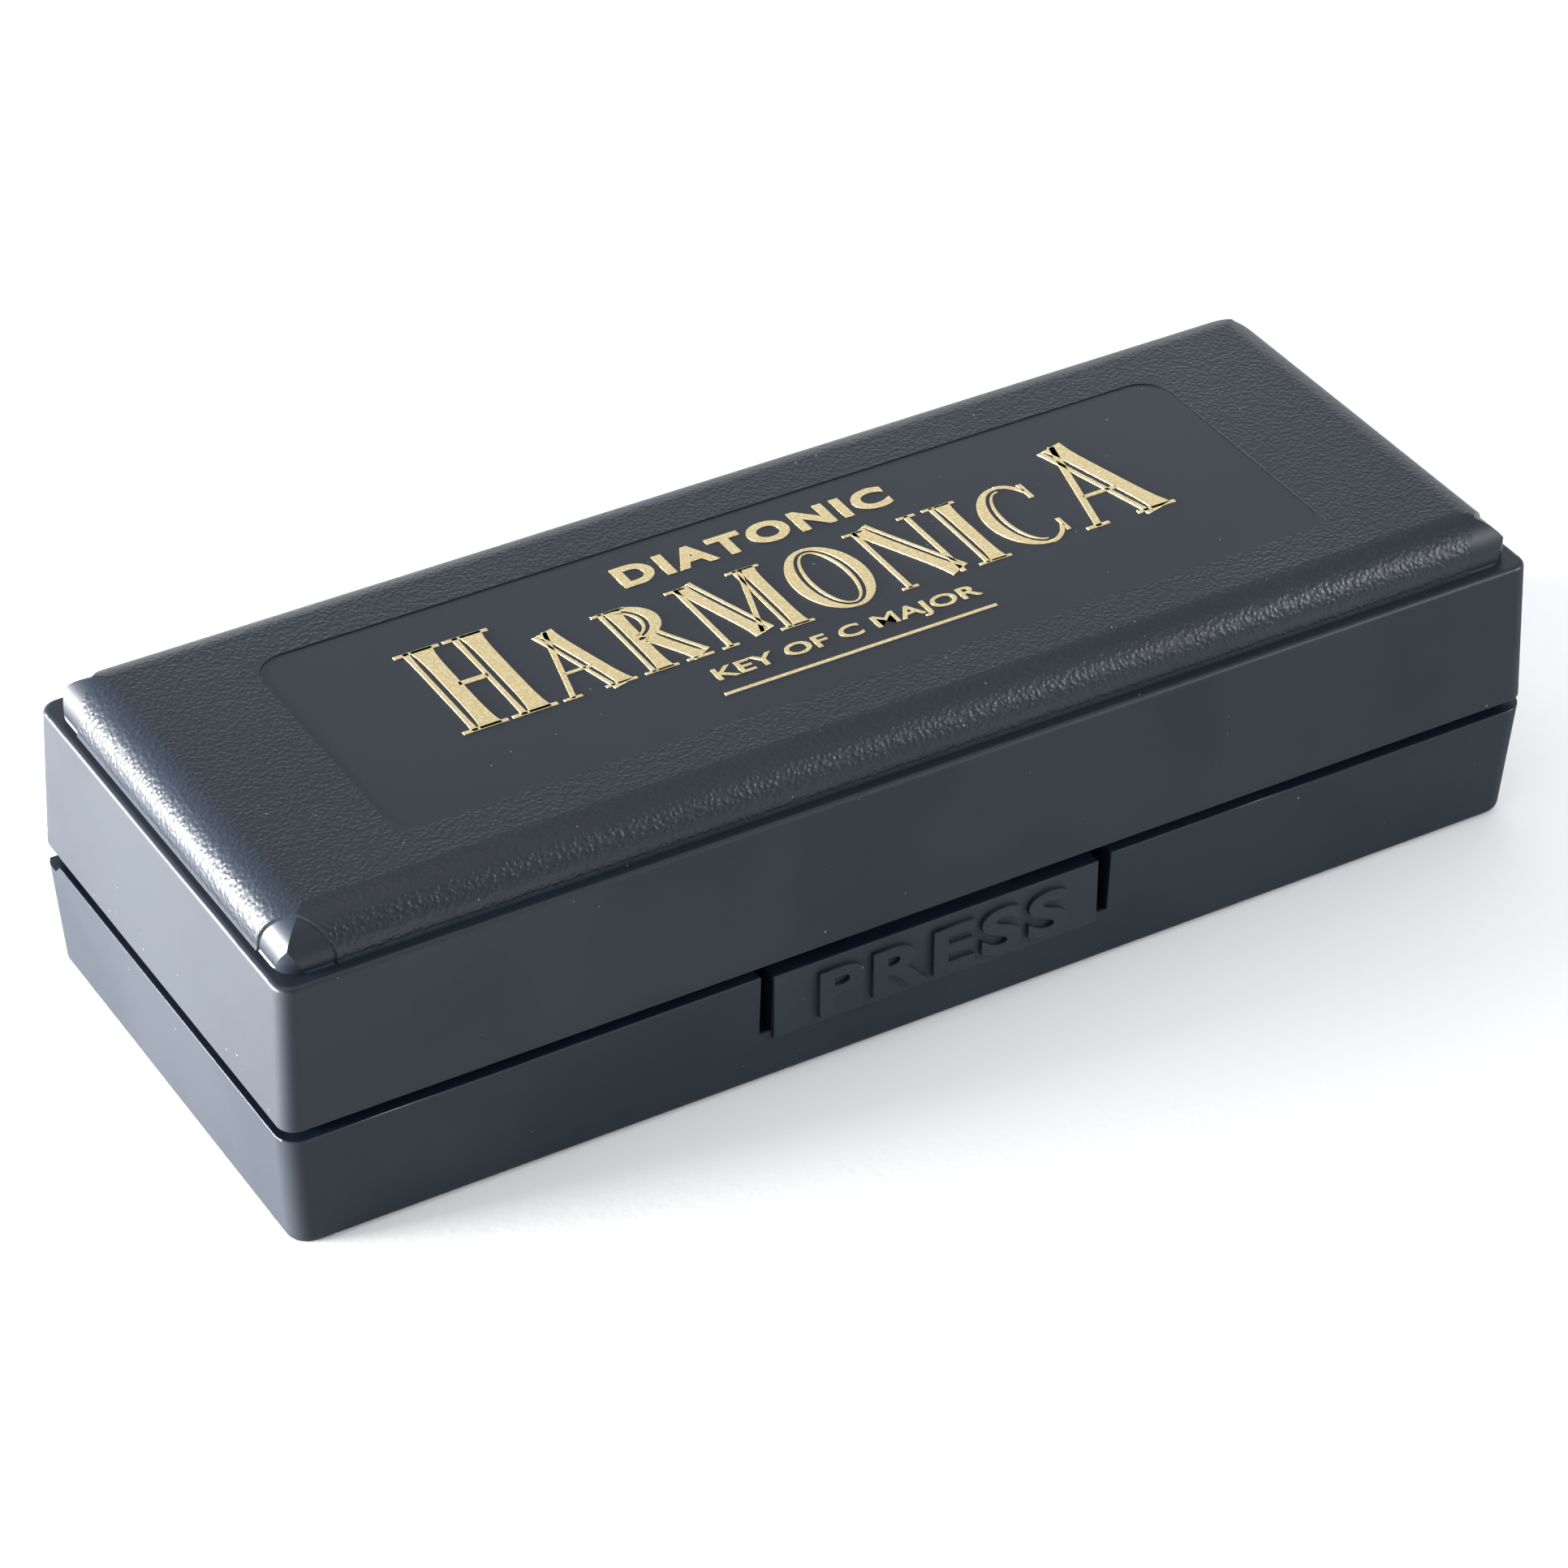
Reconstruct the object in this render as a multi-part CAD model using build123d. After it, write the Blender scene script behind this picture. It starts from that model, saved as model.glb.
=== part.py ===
from build123d import *
import os

# A ten-hole diatonic harmonica in its hinged hard plastic box, closed.
# Millimetres. X runs along the box, -Y is the front with the latch, +Z is up.
# The origin is the middle of the box's underside.

# ---------------------------------------------------------------- box, outside
BASE_FOOT = (119.6, 45.3)  # length and width at the underside
BASE_TOP = (121.2, 46.4)  # at the parting line
BASE_HEIGHT = 11.5
BASE_CORNER = 2.0
FOOT_ROUNDING = 1.0
LID_FOOT = (120.9, 46.2)
LID_RIM = (120.0, 45.3)
LID_FOOT_Z = 12.4
LID_RIM_Z = 26.2
LID_CORNER = 1.6
RIM_ROUNDING = 0.45
PARTING_ROUNDING = 0.12  # of both outer edges at the parting line
WALL = 2.1
LID_WALL = 2.0
FLOOR = 2.0

# ------------------------------------------------- padded-look crown of the lid
CROWN_FOOT = (118.2, 42.9)
CROWN_RISE = 4.1
CROWN_RADIUS = 3.7
CROWN_DRAFT = 0.1
CROWN_SINK = 1.0  # how far its root runs down into the lid
CORNER_LEG = 4.8  # the two legs of the corner cut add up to this at the rim
CORNER_LEAN = 0.15
CORNER_INSET = 0.15
CORNER_DROP = 0.2
CORNER_FOOT_RADIUS = 2.3
LABEL = (89.7, 27.2)
LABEL_RADIUS = 3.0
LABEL_DEPTH = 0.08

# ------------------------------------------------ lip between the two box halves
LIP_OUTER = (118.5, 43.8)
LIP_THICKNESS = 0.75
LIP_TOP_Z = 14.2
LIP_REAR_Y = 17.0
REAR_LIP_HALF = 34.0
REBATE = (118.9, 44.2)
REBATE_TOP_Z = 15.0

# ----------------------------------------------------------------------- hinge
HINGE_Y = 21.75
HINGE_Z = 11.5
BARREL_RADIUS = 1.0
BARREL_ROOM = 0.2
PIN_RADIUS = 0.5
PIN_PLAY = 0.05
KNUCKLE = 8.0
KNUCKLE_GAP = 0.2
HINGE_START_X = 59.3  # outer end of each hinge, from the middle
WEB_IN, WEB_OUT, WEB_REACH = 1.0, 0.8, 1.6
REAR_STEP_Z = 10.45
REAR_STEP_Y = 20.35
REAR_CHAMFER = 0.8

# ----------------------------------------------------------------------- latch
TAB_HALF = 15.9
TAB_THICKNESS = 1.8
TAB_TOP_Z = 11.05
TAB_PIVOT_Z = 5.55
TAB_PLAY = 0.05
SLOT_OUTER = 17.15
SLOT_FOOT_Z = 5.35
TAB_FACE_Y = -BASE_TOP[1] / 2
TAB_ROUNDING = 0.12
HOOK_HALF = 8.0
HOOK_Y = (-21.6, -20.5)
HOOK_Z = (9.0, 14.6)
NOSE_HEIGHT, NOSE_REACH = 0.9, 0.1
CATCH_HEIGHT, CATCH_REACH = 0.7, 0.12

# ------------------------------------------------------------------- harmonica
HARP_Z = 15.2  # middle of the comb
COMB = (101.0, 27.0, 6.4)
COMB_CORNER = 5.0
HOLES = 10
PITCH = 7.5
CHANNEL_WIDTH = 5.6
PLATE = (99.0, 26.0, 1.05)
PLATE_CORNER = 4.0
REED_LONG, REED_SHORT = 15.0, 9.0
REED_WIDTH = 2.3
REED_THICKNESS = 0.22
REED_LIFT = 0.03
SLOT_PLAY = 0.08
BLOW_TIP_Y = -8.5
DRAW_ROOT_Y = -8.0
PAD = (3.3, 2.6, 0.45)
PAD_GAP = 0.05
RIVET_RADIUS, RIVET_HEAD_RADIUS, RIVET_HEAD = 0.4, 0.65, 0.3
CHANNEL_END_ROOM = 3.3
COVER_HALF = 43.0
COVER_SHEET = 0.5
COVER_TOP = 10.0
COVER_FRONT, COVER_REAR = -12.4, 12.4
COVER_BROW = (-11.2, 8.4)  # where the steep front turns back, from the harmonica's middle
COVER_RIDGE_Y = -4.0
COVER_FALL = 1.0  # from the ridge to the rear edge
COVER_BENDS = [2.5, 12.0]
COVER_END_ROUNDING = 2.0
SOUND_OPENING_TOP = 8.0
EAR_END, EAR_HALF, EAR_CORNER = 49.4, 5.5, 2.0
BOLT_X = 46.2
BOLT_RADIUS, BOLT_HOLE = 0.95, 1.1
BOLT_HEAD_RADIUS, BOLT_HEAD = 1.9, 1.2
BOLT_TAIL = 0.3
NUT_ACROSS, NUT = 4.0, 1.6
SCREW_RADIUS, SCREW_HEAD_RADIUS, SCREW_HEAD, SCREW_BITE = 0.65, 1.2, 0.7, 2.6
SCREW_PLACES = [(-40.6, -9.0), (40.6, -9.0), (-37.5, 11.6), (0.0, 11.6), (37.5, 11.6)]
DRIVE_SLOT = 0.4

# ---------------------------------------------- ribs that hold the harmonica
RIB = 1.5
RIB_TOP_Z = 14.0
SEAT_X, STOP_X = 47.3, 50.7
END_RIB_Y = 9.0
SIDE_RIB_X = 44.0
SIDE_RIB_Y = 13.7
HOLD_DOWN_X, HOLD_DOWN_HALF = 25.0, 8.0
HOLD_DOWN_PLAY = 0.2


def block(x, y, z):
    """A box between two x values, two y values and two z values."""
    size = [abs(b - a) for a, b in (x, y, z)]
    middle = [(a + b) / 2 for a, b in (x, y, z)]
    return Pos(*middle) * Box(*size)


def rod(radius, x, y, z):
    """A cylinder along X between two x values."""
    return Pos((x[0] + x[1]) / 2, y, z) * Rot(0, 90, 0) * Cylinder(radius, abs(x[1] - x[0]))


def post(radius, x, y, z):
    """An upright cylinder between two z values."""
    return Pos(x, y, (z[0] + z[1]) / 2) * Cylinder(radius, abs(z[1] - z[0]))


def drafted(foot, foot_z, top, top_z, corner):
    """A block with rounded upright corners whose size changes from foot to top."""
    low = Plane.XY.offset(foot_z) * RectangleRounded(*foot, corner)
    high = Plane.XY.offset(top_z) * RectangleRounded(*top, corner)
    return loft([low.face(), high.face()], ruled=True)


def prism(size, z, corner):
    """A straight block with rounded upright corners between two z values."""
    return extrude(Plane.XY.offset(z[0]) * RectangleRounded(*size, corner), z[1] - z[0])


def shrunk(size, by):
    """A length and width made smaller by the same amount on every side."""
    return (size[0] - 2 * by, size[1] - 2 * by)


def both_ends(solid):
    """A solid and its mirror image at the other end of the box."""
    return [solid, mirror(solid, Plane.YZ)]


# ------------------------------------------------------------------ crown shape
def crown_section(plane, half, rise):
    """A crown outline: drafted foot, quarter-round shoulder, flat top."""
    shoulder = half - CROWN_DRAFT
    spring_z = rise - CROWN_RADIUS
    bend = CROWN_RADIUS * 0.5**0.5
    flat = shoulder - CROWN_RADIUS
    mid = (flat + bend, spring_z + bend)
    outline = Polyline((flat, rise), (-flat, rise))
    outline += ThreePointArc((-flat, rise), (-mid[0], mid[1]), (-shoulder, spring_z))
    left_side = [(-shoulder, spring_z), (-half, 0), (-half, -CROWN_SINK)]
    right_side = [(half, -CROWN_SINK), (half, 0), (shoulder, spring_z)]
    outline += Polyline(*left_side, *right_side)
    outline += ThreePointArc((shoulder, spring_z), mid, (flat, rise))
    return plane * make_face(outline)


def crown(foot, rise):
    """A pillow with mitred corners, standing on the rim."""
    across = crown_section(Plane((0, 0, LID_RIM_Z), x_dir=(0, 1, 0), z_dir=(1, 0, 0)), foot[1] / 2, rise)
    along = crown_section(Plane((0, 0, LID_RIM_Z), x_dir=(1, 0, 0), z_dir=(0, -1, 0)), foot[0] / 2, rise)
    return extrude(across, foot[0] / 2, both=True) & extrude(along, foot[1] / 2, both=True)


def corner_cutter(side_x, side_y):
    """What is taken off one crown corner: all beyond a leaning 45 degree plane."""
    back = CORNER_LEG / 2
    origin = (side_x * (CROWN_FOOT[0] / 2 - back), side_y * (CROWN_FOOT[1] / 2 - back), LID_RIM_Z)
    plane = Plane(origin, z_dir=(side_x, side_y, CORNER_LEAN))
    return extrude(plane * Rectangle(30, 30), 10)


def crown_with_corners():
    """The crown with its four corner caps set in from the main cushion."""
    cushion = crown(CROWN_FOOT, CROWN_RISE)
    for side_x in (-1, 1):
        for side_y in (-1, 1):
            cushion -= corner_cutter(side_x, side_y)
    cap_foot = shrunk(CROWN_FOOT, CORNER_INSET)
    cap_z = (LID_RIM_Z - CROWN_SINK, LID_RIM_Z + CROWN_RISE)
    caps = crown(cap_foot, CROWN_RISE - CORNER_DROP) & prism(cap_foot, cap_z, CORNER_FOOT_RADIUS)
    return cushion + caps


# -------------------------------------------------------------------- hinge
def knuckle_spans():
    """The x spans of one hinge's three knuckles, from the end of the box inwards."""
    step = KNUCKLE + KNUCKLE_GAP
    starts = [HINGE_START_X - KNUCKLE - i * step for i in range(3)]
    return [(start, start + KNUCKLE) for start in starts]


def knuckle(span, bore, upward):
    """One barrel piece with its web, which reaches up to the lid or down to the base."""
    reach = WEB_REACH if upward else -WEB_REACH
    barrel = rod(BARREL_RADIUS, span, HINGE_Y, HINGE_Z)
    barrel += block(span, (HINGE_Y - WEB_IN, HINGE_Y + WEB_OUT), (HINGE_Z, HINGE_Z + reach))
    return barrel - rod(bore, span, HINGE_Y, HINGE_Z)


def knuckle_room(span):
    """The round space that the other half keeps clear of a knuckle."""
    wide = (span[0] - KNUCKLE_GAP / 2, span[1] + KNUCKLE_GAP)
    return rod(BARREL_RADIUS + BARREL_ROOM, wide, HINGE_Y, HINGE_Z)


def with_knuckles(half, own, other, bore, upward):
    """A box half with clear room for the other half's knuckles and its own added."""
    for span in other:
        for room in both_ends(knuckle_room(span)):
            half -= room
    for span in own:
        for piece in both_ends(knuckle(span, bore, upward)):
            half += piece
    return half


def rear_chamfer(z, up):
    """The bevel along a rear edge, which lets the lid swing past upright."""
    rear = BASE_TOP[1] / 2 + 0.2
    reach = REAR_CHAMFER + 0.2
    tip = z + reach if up else z - reach
    face = z - 0.1 if up else z + 0.1
    points = [(rear, face), (rear - reach, face), (rear - reach, z), (rear, tip)]
    section = Plane.YZ * make_face(Polyline(*points, close=True))
    return extrude(section, BASE_TOP[0], both=True)


def hinge_pin():
    """A steel pin through one hinge's three knuckles."""
    inner, outer = knuckle_spans()[2][0] + 0.3, HINGE_START_X - 0.3
    return rod(PIN_RADIUS, (inner, outer), HINGE_Y, HINGE_Z)


# ------------------------------------------------------------------- box base
def lip():
    """The thin wall that stands up inside the lid, left out at the latch and the hinges."""
    z = (REAR_STEP_Z - 1.0, LIP_TOP_Z)
    ring = prism(LIP_OUTER, z, 1.0) - prism(shrunk(LIP_OUTER, LIP_THICKNESS), z, 0.5)
    for side in (-1, 1):
        ring -= block((side * REAR_LIP_HALF, side * 70), (LIP_REAR_Y, 30), z)
    return ring - block((-SLOT_OUTER, SLOT_OUTER), (-30, 0), z)


def rear_step():
    """The rear of the base's top edge, cut lower with a slope at each end."""
    top = BASE_HEIGHT + 5
    slope = BASE_HEIGHT - REAR_STEP_Z
    points = [(REAR_STEP_Y - slope, top), (REAR_STEP_Y - slope, BASE_HEIGHT), (REAR_STEP_Y, REAR_STEP_Z)]
    points += [(30, REAR_STEP_Z), (30, top)]
    return extrude(Plane.YZ * make_face(Polyline(*points, close=True)), BASE_TOP[0], both=True)


def latch_window():
    """The opening for the latch: a round groove for its root, the tab's space and two slots."""
    pivot_y = TAB_FACE_Y + TAB_THICKNESS / 2
    half = TAB_HALF + TAB_PLAY
    through_y = (-30, -20.4)
    window = rod(TAB_THICKNESS / 2 + TAB_PLAY, (-half, half), pivot_y, TAB_PIVOT_Z)
    window += block((-half, half), (-30, pivot_y), (TAB_PIVOT_Z - TAB_THICKNESS / 2 - TAB_PLAY, TAB_PIVOT_Z))
    window += block((-half, half), through_y, (TAB_PIVOT_Z, 30))
    for side in (-1, 1):
        window += block((side * half, side * SLOT_OUTER), through_y, (SLOT_FOOT_Z, 30))
    return window


def cradle_ribs():
    """Upright ribs that seat the comb's ends and keep it from sliding."""
    seat_z = HARP_Z - COMB[2] / 2 - PLATE[2]
    ribs = []
    for side in (-1, 1):
        for y in (-END_RIB_Y, END_RIB_Y):
            across = (y - RIB / 2, y + RIB / 2)
            ribs.append(block((side * SEAT_X, side * STOP_X), across, (FLOOR - 0.5, seat_z)))
            ribs.append(block((side * STOP_X, side * 59.0), across, (FLOOR - 0.5, RIB_TOP_Z)))
        for end in (-1, 1):
            span = (end * SIDE_RIB_X - RIB / 2, end * SIDE_RIB_X + RIB / 2)
            rib = block(span, (side * SIDE_RIB_Y, side * 22.0), (FLOOR - 0.5, RIB_TOP_Z - 4))
            ribs.append(rib)
            ribs.append(block(span, (side * SIDE_RIB_Y, side * 19.0), (FLOOR - 0.5, RIB_TOP_Z)))
    return ribs


def case_base():
    outer = drafted(BASE_FOOT, 0, BASE_TOP, BASE_HEIGHT, BASE_CORNER)
    outer = fillet(outer.edges().group_by(Axis.Z)[0], FOOT_ROUNDING)
    outer = fillet(outer.edges().group_by(Axis.Z)[-1], PARTING_ROUNDING)
    inner = drafted(shrunk(BASE_FOOT, WALL - 0.15), FLOOR, shrunk(BASE_TOP, WALL), BASE_HEIGHT + 0.01, 1.0)
    tray = outer - inner
    for rib in cradle_ribs():
        tray += rib
    tray -= rear_step()
    tray -= rear_chamfer(REAR_STEP_Z, up=False)
    tray += lip()
    tray -= latch_window()
    outer_lid, base_knuckle, inner_lid = knuckle_spans()
    return with_knuckles(tray, [base_knuckle], [outer_lid, inner_lid], PIN_RADIUS, upward=False)


# -------------------------------------------------------------------- box lid
def lid_ribs():
    """Two ribs under the lid that stop just above the harmonica."""
    bottom = HARP_Z + COVER_TOP + HOLD_DOWN_PLAY
    top = LID_RIM_Z + CROWN_RISE - 1.0
    return [
        block((x - RIB / 2, x + RIB / 2), (-HOLD_DOWN_HALF, HOLD_DOWN_HALF), (bottom, top))
        for x in (-HOLD_DOWN_X, HOLD_DOWN_X)
    ]


def catch():
    """The bead inside the lid's front wall that the latch hooks over."""
    face = -REBATE[1] / 2
    z = (LID_FOOT_Z + 0.1, LID_FOOT_Z + 0.1 + CATCH_HEIGHT)
    return block((-HOOK_HALF, HOOK_HALF), (face - 0.3, face + CATCH_REACH), z)


def case_lid():
    shell = drafted(LID_FOOT, LID_FOOT_Z, LID_RIM, LID_RIM_Z, LID_CORNER)
    shell = fillet(shell.edges().group_by(Axis.Z)[-1], RIM_ROUNDING)
    shell = fillet(shell.edges().group_by(Axis.Z)[0], PARTING_ROUNDING)
    shell += crown_with_corners()
    label_z = LID_RIM_Z + CROWN_RISE
    shell -= prism(LABEL, (label_z - LABEL_DEPTH, label_z + 1), LABEL_RADIUS)
    shell -= drafted(shrunk(LID_FOOT, LID_WALL), LID_FOOT_Z, shrunk(LID_RIM, LID_WALL), LID_RIM_Z - 0.8, 1.0)
    shell -= crown(shrunk(CROWN_FOOT, LID_WALL), CROWN_RISE - LID_WALL + 0.1)
    shell -= prism(REBATE, (LID_FOOT_Z - 1, REBATE_TOP_Z), 0.8)
    for rib in lid_ribs():
        shell += rib
    shell += catch()
    shell -= rear_chamfer(LID_FOOT_Z, up=True)
    outer_lid, base_knuckle, inner_lid = knuckle_spans()
    return with_knuckles(shell, [outer_lid, inner_lid], [base_knuckle], PIN_RADIUS + PIN_PLAY, upward=True)


# ---------------------------------------------------------------------- latch
def latch_tab():
    """The press tab: a round root, a flat face and a hook that rises inside the lid."""
    x = (-TAB_HALF, TAB_HALF)
    y = (TAB_FACE_Y, TAB_FACE_Y + TAB_THICKNESS)
    tab = rod(TAB_THICKNESS / 2, x, sum(y) / 2, TAB_PIVOT_Z) + block(x, y, (TAB_PIVOT_Z, TAB_TOP_Z))
    tab += block(x, (y[0], sum(y) / 2), (TAB_PIVOT_Z - TAB_THICKNESS / 2, TAB_PIVOT_Z))
    tab = fillet(tab.edges().filter_by(lambda e: abs(e.center().Y - TAB_FACE_Y) < 0.001), TAB_ROUNDING)
    hook_x = (-HOOK_HALF, HOOK_HALF)
    tab += block(hook_x, HOOK_Y, HOOK_Z)
    nose_y = (HOOK_Y[0] - NOSE_REACH, HOOK_Y[0] + 0.2)
    return tab + block(hook_x, nose_y, (HOOK_Z[1] - NOSE_HEIGHT, HOOK_Z[1]))


# ------------------------------------------------------------------ harmonica
def hole_x(i):
    """Middle of hole i, counted from 0 at the low end."""
    return (i - (HOLES - 1) / 2) * PITCH


def reed_length(i):
    """Reeds shorten evenly from the low end to the high end."""
    return REED_LONG + (REED_SHORT - REED_LONG) * i / (HOLES - 1)


def blow_root(i):
    return BLOW_TIP_Y + reed_length(i)


def channel_end(i):
    return blow_root(i) + CHANNEL_END_ROOM


def at_harp(solid):
    """Moves a harmonica piece from the comb's own middle to its place in the box."""
    return Pos(0, 0, HARP_Z) * solid


def flipped(solid):
    """The same piece on the underside of the comb."""
    return mirror(solid, Plane.XY)


def comb():
    body = prism(COMB[:2], (-COMB[2] / 2, COMB[2] / 2), COMB_CORNER)
    nose = body.edges().filter_by(Axis.X).group_by(Axis.Y)[0]
    body = chamfer(nose, 0.4)
    for i in range(HOLES):
        x = (hole_x(i) - CHANNEL_WIDTH / 2, hole_x(i) + CHANNEL_WIDTH / 2)
        body -= block(x, (-20, channel_end(i)), (-10, 10))
    for side in (-1, 1):
        body -= post(BOLT_HOLE, side * BOLT_X, 0, (-10, 10))
    for x, y in SCREW_PLACES:
        for z in ((COMB[2] / 2 - SCREW_BITE, 10), (-10, SCREW_BITE - COMB[2] / 2)):
            body -= post(SCREW_RADIUS, x, y, z)
    return body


def reed_slot(i, root, towards):
    """The slot a reed swings in, from its root line towards its tip."""
    half = REED_WIDTH / 2 + SLOT_PLAY
    x = (hole_x(i) - half, hole_x(i) + half)
    return block(x, (root, root + towards * (reed_length(i) + 2 * SLOT_PLAY)), (-20, 20))


def reed_plate(z, slots, rivets):
    """A brass plate between two z values, with its slots and holes."""
    plate = prism(PLATE[:2], z, PLATE_CORNER)
    for slot in slots:
        plate -= slot
    for x, y in rivets:
        plate -= post(RIVET_RADIUS, x, y, (-20, 20))
    for side in (-1, 1):
        plate -= post(BOLT_HOLE, side * BOLT_X, 0, (-20, 20))
    for x, y in SCREW_PLACES:
        plate -= post(SCREW_RADIUS, x, y, (-20, 20))
    return plate


def pad_middle(root, towards):
    """Middle of a reed's riveted pad, which lies on the far side of its root line."""
    return root - towards * (PAD_GAP + PAD[1] / 2)


def reed_pad(i, root, towards, face_z):
    """The fixed end of a reed, on the lower face of its plate."""
    y = pad_middle(root, towards)
    pad = Pos(hole_x(i), y, face_z - PAD[2] / 2) * Box(*PAD)
    return pad - post(RIVET_RADIUS, hole_x(i), y, (face_z - 2, face_z + 2))


def reed_tongue(i, root, towards, face_z):
    """The part of a reed that swings, just off the lower face of its plate."""
    x = (hole_x(i) - REED_WIDTH / 2, hole_x(i) + REED_WIDTH / 2)
    y = (root + towards * PAD_GAP, root + towards * reed_length(i))
    z = (face_z - REED_LIFT - REED_THICKNESS, face_z - REED_LIFT)
    return block(x, y, z)


def rivet(i, root, towards, face_z):
    """A rivet through a pad and its plate."""
    x, y = hole_x(i), pad_middle(root, towards)
    head_z = face_z - PAD[2]
    return post(RIVET_RADIUS, x, y, (head_z, face_z + PLATE[2])) + post(
        RIVET_HEAD_RADIUS, x, y, (head_z - RIVET_HEAD, head_z)
    )


def cover_section():
    """The outline of a cover from above the plate: steep front, long fall to the rear."""
    foot = COMB[2] / 2 + PLATE[2]
    rear = (COVER_REAR, COVER_TOP - COVER_FALL)
    ridge = (COVER_RIDGE_Y, COVER_TOP)
    path = FilletPolyline((COVER_FRONT, foot), COVER_BROW, ridge, rear, radius=COVER_BENDS)
    outline = path + Polyline(rear, (COVER_REAR, foot), (COVER_FRONT, foot))
    return Plane.YZ * make_face(outline)


def cover():
    """A pressed cover with closed ends, an open back and an ear at each end."""
    foot = COMB[2] / 2 + PLATE[2]
    skin = extrude(cover_section(), COVER_HALF, both=True)
    ends = skin.edges().filter_by(lambda e: abs(abs(e.center().X) - COVER_HALF) < 0.01)
    ends = ends.filter_by(lambda e: e.center().Z > foot + 0.1 and e.center().Y < COVER_REAR - 0.1)
    skin = fillet(ends, COVER_END_ROUNDING)
    inside = offset(cover_section(), -COVER_SHEET, kind=Kind.INTERSECTION)
    hollow = extrude(inside, COVER_HALF - COVER_SHEET, both=True)
    inner_ends = hollow.edges().filter_by(lambda e: abs(abs(e.center().X) - COVER_HALF + COVER_SHEET) < 0.01)
    inner_ends = inner_ends.filter_by(lambda e: e.center().Z > foot + 0.7 and e.center().Y < COVER_REAR - 0.7)
    hollow = fillet(inner_ends, COVER_END_ROUNDING - COVER_SHEET)
    skin -= hollow
    half = COVER_HALF - COVER_SHEET
    under = (COVER_FRONT + COVER_SHEET, COVER_REAR - COVER_SHEET)
    skin -= block((-half, half), under, (foot - 1, foot + 0.6))
    skin -= block((-half, half), (0, COVER_REAR + 1), (foot - 1, SOUND_OPENING_TOP))
    ear = prism((2 * EAR_END, 2 * EAR_HALF), (foot, foot + COVER_SHEET), EAR_CORNER)
    ear -= block((-half, half), (-20, 20), (-20, 20))
    for side in (-1, 1):
        ear -= post(BOLT_HOLE, side * BOLT_X, 0, (0, 20))
    for piece in ear.solids():
        skin += piece
    return skin


def cover_bolt():
    """A slotted bolt down through both covers, both plates and the comb."""
    top = COMB[2] / 2 + PLATE[2] + COVER_SHEET
    head = post(BOLT_HEAD_RADIUS, BOLT_X, 0, (top, top + BOLT_HEAD))
    head = fillet(head.edges().group_by(Axis.Z)[-1], 0.5)
    head -= Pos(BOLT_X, 0, top + BOLT_HEAD) * Box(5, DRIVE_SLOT, BOLT_HEAD)
    return head + post(BOLT_RADIUS, BOLT_X, 0, (-top - NUT - BOLT_TAIL, top))


def cover_nut():
    """The hexagonal nut under the lower cover's ear."""
    top = -(COMB[2] / 2 + PLATE[2] + COVER_SHEET)
    hexagon = RegularPolygon(NUT_ACROSS / 2, 6, major_radius=False)
    sketch = Plane.XY.offset(top - NUT) * Pos(BOLT_X, 0) * hexagon
    return extrude(sketch, NUT) - post(BOLT_RADIUS, BOLT_X, 0, (-20, 0))


def plate_screw(x, y):
    """One small slotted screw from a plate's outer face into the comb."""
    face = COMB[2] / 2 + PLATE[2]
    head = post(SCREW_HEAD_RADIUS, x, y, (face, face + SCREW_HEAD))
    head -= Pos(x, y, face + SCREW_HEAD) * Box(5, DRIVE_SLOT, SCREW_HEAD)
    return head + post(SCREW_RADIUS, x, y, (COMB[2] / 2 - SCREW_BITE, face))


def harmonica():
    """Every harmonica piece by node name, in its place in the box."""
    upper_z = (COMB[2] / 2, COMB[2] / 2 + PLATE[2])
    lower_z = (-upper_z[1], -upper_z[0])
    blow = [(i, blow_root(i), -1, upper_z[0]) for i in range(HOLES)]
    draw = [(i, DRAW_ROOT_Y, 1, lower_z[0]) for i in range(HOLES)]
    pieces = {"comb": comb()}
    for name, z, reeds in (("upper", upper_z, blow), ("lower", lower_z, draw)):
        slots = [reed_slot(i, root, towards) for i, root, towards, _ in reeds]
        rivets = [(hole_x(i), pad_middle(root, towards)) for i, root, towards, _ in reeds]
        pieces[f"reed_plate_{name}"] = reed_plate(z, slots, rivets)
    for name, reeds in (("blow", blow), ("draw", draw)):
        pieces[f"{name}_reed_pads"] = Compound(children=[reed_pad(*reed) for reed in reeds])
        pieces[f"{name}_reed_rivets"] = Compound(children=[rivet(*reed) for reed in reeds])
        for reed in reeds:
            pieces[f"{name}_reed_{reed[0] + 1:02d}"] = reed_tongue(*reed)
    pieces["cover_upper"] = cover()
    pieces["cover_lower"] = flipped(cover())
    pieces["cover_bolts"] = Compound(children=both_ends(cover_bolt()))
    pieces["cover_nuts"] = Compound(children=both_ends(cover_nut()))
    screws = [plate_screw(x, y) for x, y in SCREW_PLACES]
    pieces["reed_plate_screws"] = Compound(children=screws + [flipped(s) for s in screws])
    return {name: at_harp(piece) for name, piece in pieces.items()}


def main():
    os.makedirs("parts", exist_ok=True)
    nodes = {"case_base": case_base(), "case_lid": case_lid(), "latch_tab": latch_tab()}
    for name, pin in zip(("hinge_pin_right", "hinge_pin_left"), both_ends(hinge_pin())):
        nodes[name] = pin
    nodes.update(harmonica())
    for name, solid in nodes.items():
        export_step(solid, f"parts/{name}.step")
    print(len(nodes), "nodes written")


main()
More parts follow.
